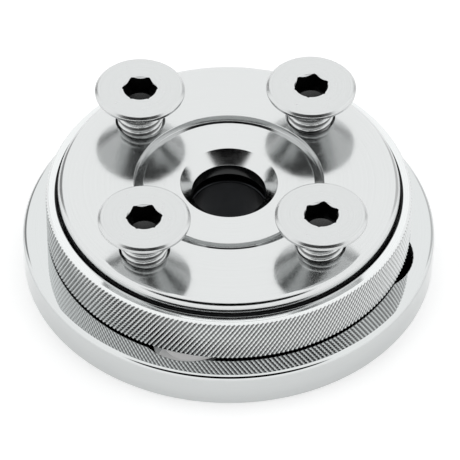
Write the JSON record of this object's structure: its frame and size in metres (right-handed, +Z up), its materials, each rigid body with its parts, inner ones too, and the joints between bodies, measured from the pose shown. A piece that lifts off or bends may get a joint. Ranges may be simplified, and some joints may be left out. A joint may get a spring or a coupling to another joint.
{
  "type": "watch case press support",
  "caption": "Round press support for watch cases: a knurled ring lifts the polished work plate, whose countersunk screws stand up as adjustable case rests.",
  "frame": {"origin": "centre of the base flange's underside, on the axis of the centre bore", "axes": "+Z up along the bore axis, out of the work plate; -Y towards the viewer of the front view; +X to that viewer's right"},
  "size_m": [0.0528, 0.0528, 0.0183],
  "materials": {
    "flange_steel": "mirror polished stainless steel",
    "ring_steel": "polished stainless steel, fine diamond knurl",
    "plate_steel": "finely ground and polished stainless steel",
    "screw_steel": "stainless steel screw, satin head face and bright rim",
    "sleeve_steel": "turned stainless steel",
    "fastener_steel": "hardened steel",
    "bronze": "turned bearing bronze",
    "washer_acetal": "black acetal, machined",
    "seal_rubber": "matt black rubber"
  },
  "bodies": {
    "base": {"base_flange": "flange_steel", "centre_sleeve": "sleeve_steel", "sleeve_screw_1": "fastener_steel", "sleeve_screw_2": "fastener_steel", "sleeve_screw_3": "fastener_steel", "sleeve_screw_4": "fastener_steel", "guide_pin_1": "fastener_steel", "guide_pin_2": "fastener_steel", "thrust_washer": "washer_acetal"},
    "ring": {"knurled_ring": "ring_steel", "dust_seal": "seal_rubber"},
    "plate": {"work_plate": "plate_steel", "guide_bush_1": "bronze", "guide_bush_2": "bronze", "retaining_screw_1": "fastener_steel", "retaining_screw_2": "fastener_steel"},
    "case_screw_1": {"case_screw_1": "screw_steel"},
    "case_screw_2": {"case_screw_2": "screw_steel"},
    "case_screw_3": {"case_screw_3": "screw_steel"},
    "case_screw_4": {"case_screw_4": "screw_steel"}
  },
  "joints": [
    {"name": "ring_turn", "type": "hinge", "parent": "base", "child": "ring", "pos_m": [0, 0, 0.00485], "axis": [0, 0, 1], "range_deg": [-360.5, 288.5]},
    {"name": "plate_lift", "type": "slide", "parent": "base", "child": "plate", "axis": [0, 0, 1], "range_m": [-0.0008, 0.001]},
    {"name": "case_screw_1_height", "type": "slide", "parent": "plate", "child": "case_screw_1", "axis": [0, 0, 1], "range_m": [-0.0019, 0.0025]},
    {"name": "case_screw_2_height", "type": "slide", "parent": "plate", "child": "case_screw_2", "axis": [0, 0, 1], "range_m": [-0.0019, 0.0025]},
    {"name": "case_screw_3_height", "type": "slide", "parent": "plate", "child": "case_screw_3", "axis": [0, 0, 1], "range_m": [-0.0019, 0.0025]},
    {"name": "case_screw_4_height", "type": "slide", "parent": "plate", "child": "case_screw_4", "axis": [0, 0, 1], "range_m": [-0.0019, 0.0025]}
  ],
  "couplings": [
    {"joint": "ring_turn", "follows": "plate_lift", "rad_per_m": -6283.2}
  ]
}
